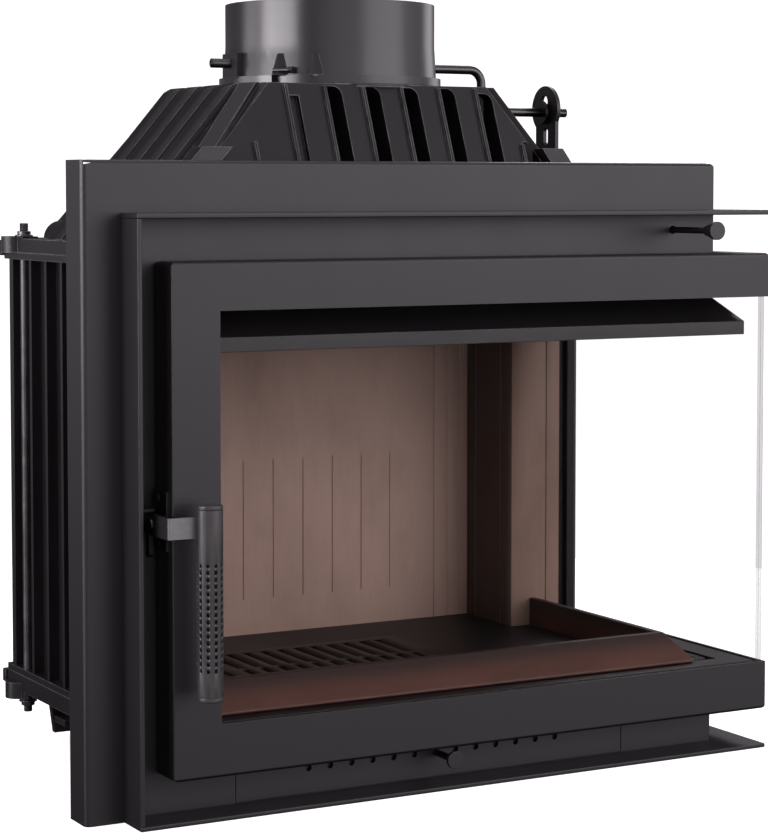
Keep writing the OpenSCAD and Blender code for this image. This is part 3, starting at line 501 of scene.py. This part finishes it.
# ------------------------------------------------------------------ CAD nodes: edges and finish
def refine(node, width=0.6, segs=2, angle=28, flat=True):
    """Planar faces joined, edges rounded and shaded as rounded edges."""
    o = NODES[node]
    w = o.modifiers.new("join", "WELD")
    w.merge_threshold = 2e-6
    if flat:
        d = o.modifiers.new("flat", "DECIMATE")
        d.decimate_type = "DISSOLVE"
        d.angle_limit = math.radians(0.4)
    if width:
        b = o.modifiers.new("edge", "BEVEL")
        b.width = width * MM
        b.segments = segs
        b.limit_method = "ANGLE"
        b.angle_limit = math.radians(angle)
        b.use_clamp_overlap = True
        b.harden_normals = False
        b.miter_outer = "MITER_ARC"
    n = o.modifiers.new("shade", "WEIGHTED_NORMAL")
    n.keep_sharp = False
    n.weight = 60
    n.thresh = 0.01


WIDTH = {
    "front_plate": 1.4, "door_frame": 0.8, "collar_top": 0.8, "collar_left": 0.8, "collar_bottom": 0.8,
    "drawer_front": 0.4, "latch_lever": 0.7, "latch_keeper": 0.5, "latch_bracket": 0.5, "yoke_plate": 0.6,
    "air_deflector": 0.5, "inner_frame": 0.4, "base_plate": 1.2, "hearth_plate": 1.5, "left_wall": 1.2, "back_wall": 1.4,
    "right_column": 1.5, "front_frame": 1.0, "flue_spigot": 0.8, "ash_box": 0.4, "drawer_floor": 0.3, "drawer_sides": 0.3, "drawer_ends": 0.3, "drawer_runners": 0.4,
    "legs": 1.0, "levelling_feet": 0.5, "grate": 0.0, "log_guard_front": 0.9, "log_guard_side": 0.9,
    "left_lining": 0.0, "back_lining": 0.0, "right_lining": 0.0, "smoke_baffle": 1.0, "hinge_brackets": 0.8, "hinge_leaves": 0.8,
    "hinge_pins": 0.5, "damper_rod_guide": 0.7, "damper_disc": 0.5, "disc_screws": 0.4, "crank_washers": 0.3, "damper_knob": 0.5,
    "air_knob": 0.5, "yoke_nuts": 0.3, "air_nut": 0.3, "tie_rod_nuts": 0.4, "spigot_bolts": 0.3, "handle_caps": 0.8,
    "latch_pivot": 0.4, "frame_screws": 0.3, "damper_rod": 0.3, "air_rod": 0.3, "tie_rods": 0.5, "air_shutter": 0.2,
    "top_hood": 2.0, "handle_tube": 0.0, "damper_shaft": 0.0, "glass_seal": 0.4, "door_seal": 0.8,
}

UNFLAT = ("back_lining", "left_lining", "right_lining", "grate", "handle_tube")

for name, o in NODES.items():
    mat = M[slot_of[name]]
    if name in ("log_guard_front", "log_guard_side"):
        mat = M["guard_iron"]
    if name == "flue_spigot":
        mat = M["flue_paint"]
    if name == "top_hood":
        mat = M["hood_iron_painted_highlight"]
    if name == "tie_rods":
        mat = M["threaded_rod"]
    if name == "latch_lever":
        mat = M["lever_steel"]
    if name == "right_lining":
        mat = M["lining_sooted"]
    if name == "back_lining":
        mat = M["lining_rear"]
    if name in ("left_wall", "base_plate", "back_wall"):
        mat = M["wall_iron"]
    if name in ("latch_bracket", "latch_keeper"):
        mat = M["gap_steel_painted_shade"]
    for s in o.material_slots:
        s.material = mat
    if name in ("front_glass", "side_glass"):
        continue
    refine(name, WIDTH.get(name, 0.4), flat=name not in UNFLAT)


# ------------------------------------------------------------------ glass panes with ground edges
def slab(name, node, arris=0.5):
    """A pane the size of its CAD node, its edges arrised; big faces clear, ground edges greyish."""
    lo, hi = [Vector(v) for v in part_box(node)]
    bm = bmesh.new()
    bmesh.ops.create_cube(bm, size=1.0)
    for v in bm.verts:
        v.co = Vector(((hi[i] if v.co[i] > 0 else lo[i]) for i in range(3)))
    bmesh.ops.bevel(bm, geom=list(bm.edges), offset=arris * MM, segments=2, affect="EDGES", clamp_overlap=True)
    thin = min(range(3), key=lambda i: hi[i] - lo[i])
    for f in bm.faces:
        f.material_index = 0 if abs(f.normal[thin]) > 0.9 and f.calc_area() > 1e-3 else 1
    me = bpy.data.meshes.new(name)
    bm.to_mesh(me)
    bm.free()
    me.materials.append(M["clear_glass"])
    me.materials.append(M["pane_edge"])
    o = bpy.data.objects.new(name, me)
    bpy.context.scene.collection.objects.link(o)
    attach(o, "door")
    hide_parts(node)
    return o


slab("front_pane", "front_glass")
slab("side_pane", "side_glass")


# ------------------------------------------------------------------ stage and light
WORLD_FRONT, WORLD_ROUND, WORLD_TOP = 1.10, 0.30, 1.40


def area(name, loc, target, size, power, color=(1, 0.955, 1), size_y=None):
    d = bpy.data.lights.new(name, "AREA")
    d.shape = "RECTANGLE"
    d.size, d.size_y = size, size_y or size
    d.energy = power
    d.color = color
    o = bpy.data.objects.new(name, d)
    bpy.context.scene.collection.objects.link(o)
    o.location = loc
    o.rotation_mode = "QUATERNION"
    o.rotation_quaternion = (Vector(target) - Vector(loc)).to_track_quat("-Z", "Y")
    o.visible_camera = False
    return o


def floor():
    me = bpy.data.meshes.new("studio_floor")
    n, r = 96, 1.25
    me.from_pydata([(r * math.cos(2 * math.pi * i / n), r * math.sin(2 * math.pi * i / n), 0) for i in range(n)], [], [list(range(n))])
    o = bpy.data.objects.new("studio_floor", me)
    bpy.context.scene.collection.objects.link(o)
    m, nt, bs = new_mat("pale_floor")
    g = G(nt)
    f = g.noise(g.coords(), 3.0, 3.0, 0.5)
    nt.links.new(g.mix(f, (0.92, 0.92, 0.92, 1), (0.95, 0.95, 0.95, 1)), bs.inputs["Base Color"])
    bs.inputs["Roughness"].default_value = 0.8
    bs.inputs["Specular IOR Level"].default_value = 0.2
    bs.inputs["Emission Color"].default_value = (1, 1, 1, 1)
    bs.inputs["Emission Strength"].default_value = 0.72
    me.materials.append(m)
    o.visible_glossy = False
    o.visible_diffuse = False
    return o


floor()
world = bpy.context.scene.world or bpy.data.worlds.new("World")
bpy.context.scene.world = world
world.use_nodes = True
wt = world.node_tree
for n in list(wt.nodes):
    wt.nodes.remove(n)
wg = G(wt)
# white behind the object; the light it gives is a broad soft front, a weaker round, and little from overhead
w_tc = wg.n("ShaderNodeTexCoord")
w_sep = wg.n("ShaderNodeSeparateXYZ")
wt.links.new(w_tc.outputs["Generated"], w_sep.inputs[0])
w_x, w_y, w_z = w_sep.outputs
facing = wg.math("ADD", wg.math("MULTIPLY", w_x, 0.38), wg.math("MULTIPLY", w_y, -0.925))
front = wg.math("MULTIPLY", wg.ramp(facing, 0.20, 0.80), wg.math("MULTIPLY", wg.ramp(w_z, -0.42, 0.04), wg.ramp(w_z, 0.28, 0.70, 1.0, 0.20)))
around = wg.math("MULTIPLY", wg.ramp(w_z, -0.20, -0.02), wg.ramp(w_z, 0.0, 0.10, WORLD_ROUND, 0.06))
around = wg.math("ADD", around, wg.ramp(w_z, 0.70, 0.95, 0.0, WORLD_TOP))
sky = wg.math("ADD", wg.math("MULTIPLY", front, WORLD_FRONT), around)
lp = wg.n("ShaderNodeLightPath")
w_mix = wg.n("ShaderNodeMix", data_type="FLOAT")
wt.links.new(lp.outputs["Is Camera Ray"], w_mix.inputs[0])
wt.links.new(sky, w_mix.inputs[2])
w_mix.inputs[3].default_value = 1.25
w_bg = wg.n("ShaderNodeBackground")
w_bg.inputs[0].default_value = (1, 0.955, 1, 1)
wt.links.new(w_mix.outputs[0], w_bg.inputs[1])
w_out = wg.n("ShaderNodeOutputWorld")
wt.links.new(w_bg.outputs[0], w_out.inputs[0])
area("key", (1.85, -2.85, 1.25), (0.0, -0.1, 0.50), 3.0, 36, size_y=1.7)
area("side_strip", (-2.35, -0.22, 0.74), (-0.1, 0.03, 0.68), 1.7, 38, size_y=0.34)
area("side_tall", (-2.30, 0.36, 0.24), (-0.2, -0.1, 0.32), 0.55, 8, size_y=1.15)
area("side_back", (-1.95, 1.15, 0.74), (-0.1, 0.03, 0.68), 0.9, 5, size_y=0.3)
area("rear_high", (1.75, 1.90, 2.30), (0.0, 0.15, 0.35), 1.2, 22, size_y=0.8)
area("rear", (2.75, 0.95, 0.95), (0.0, 0.1, 0.40), 1.2, 6.5, size_y=0.9)

vs = bpy.context.scene.view_settings
vs.view_transform = "Standard"
vs.look = "None"
vs.exposure = 0.0
vs.gamma = 1.0
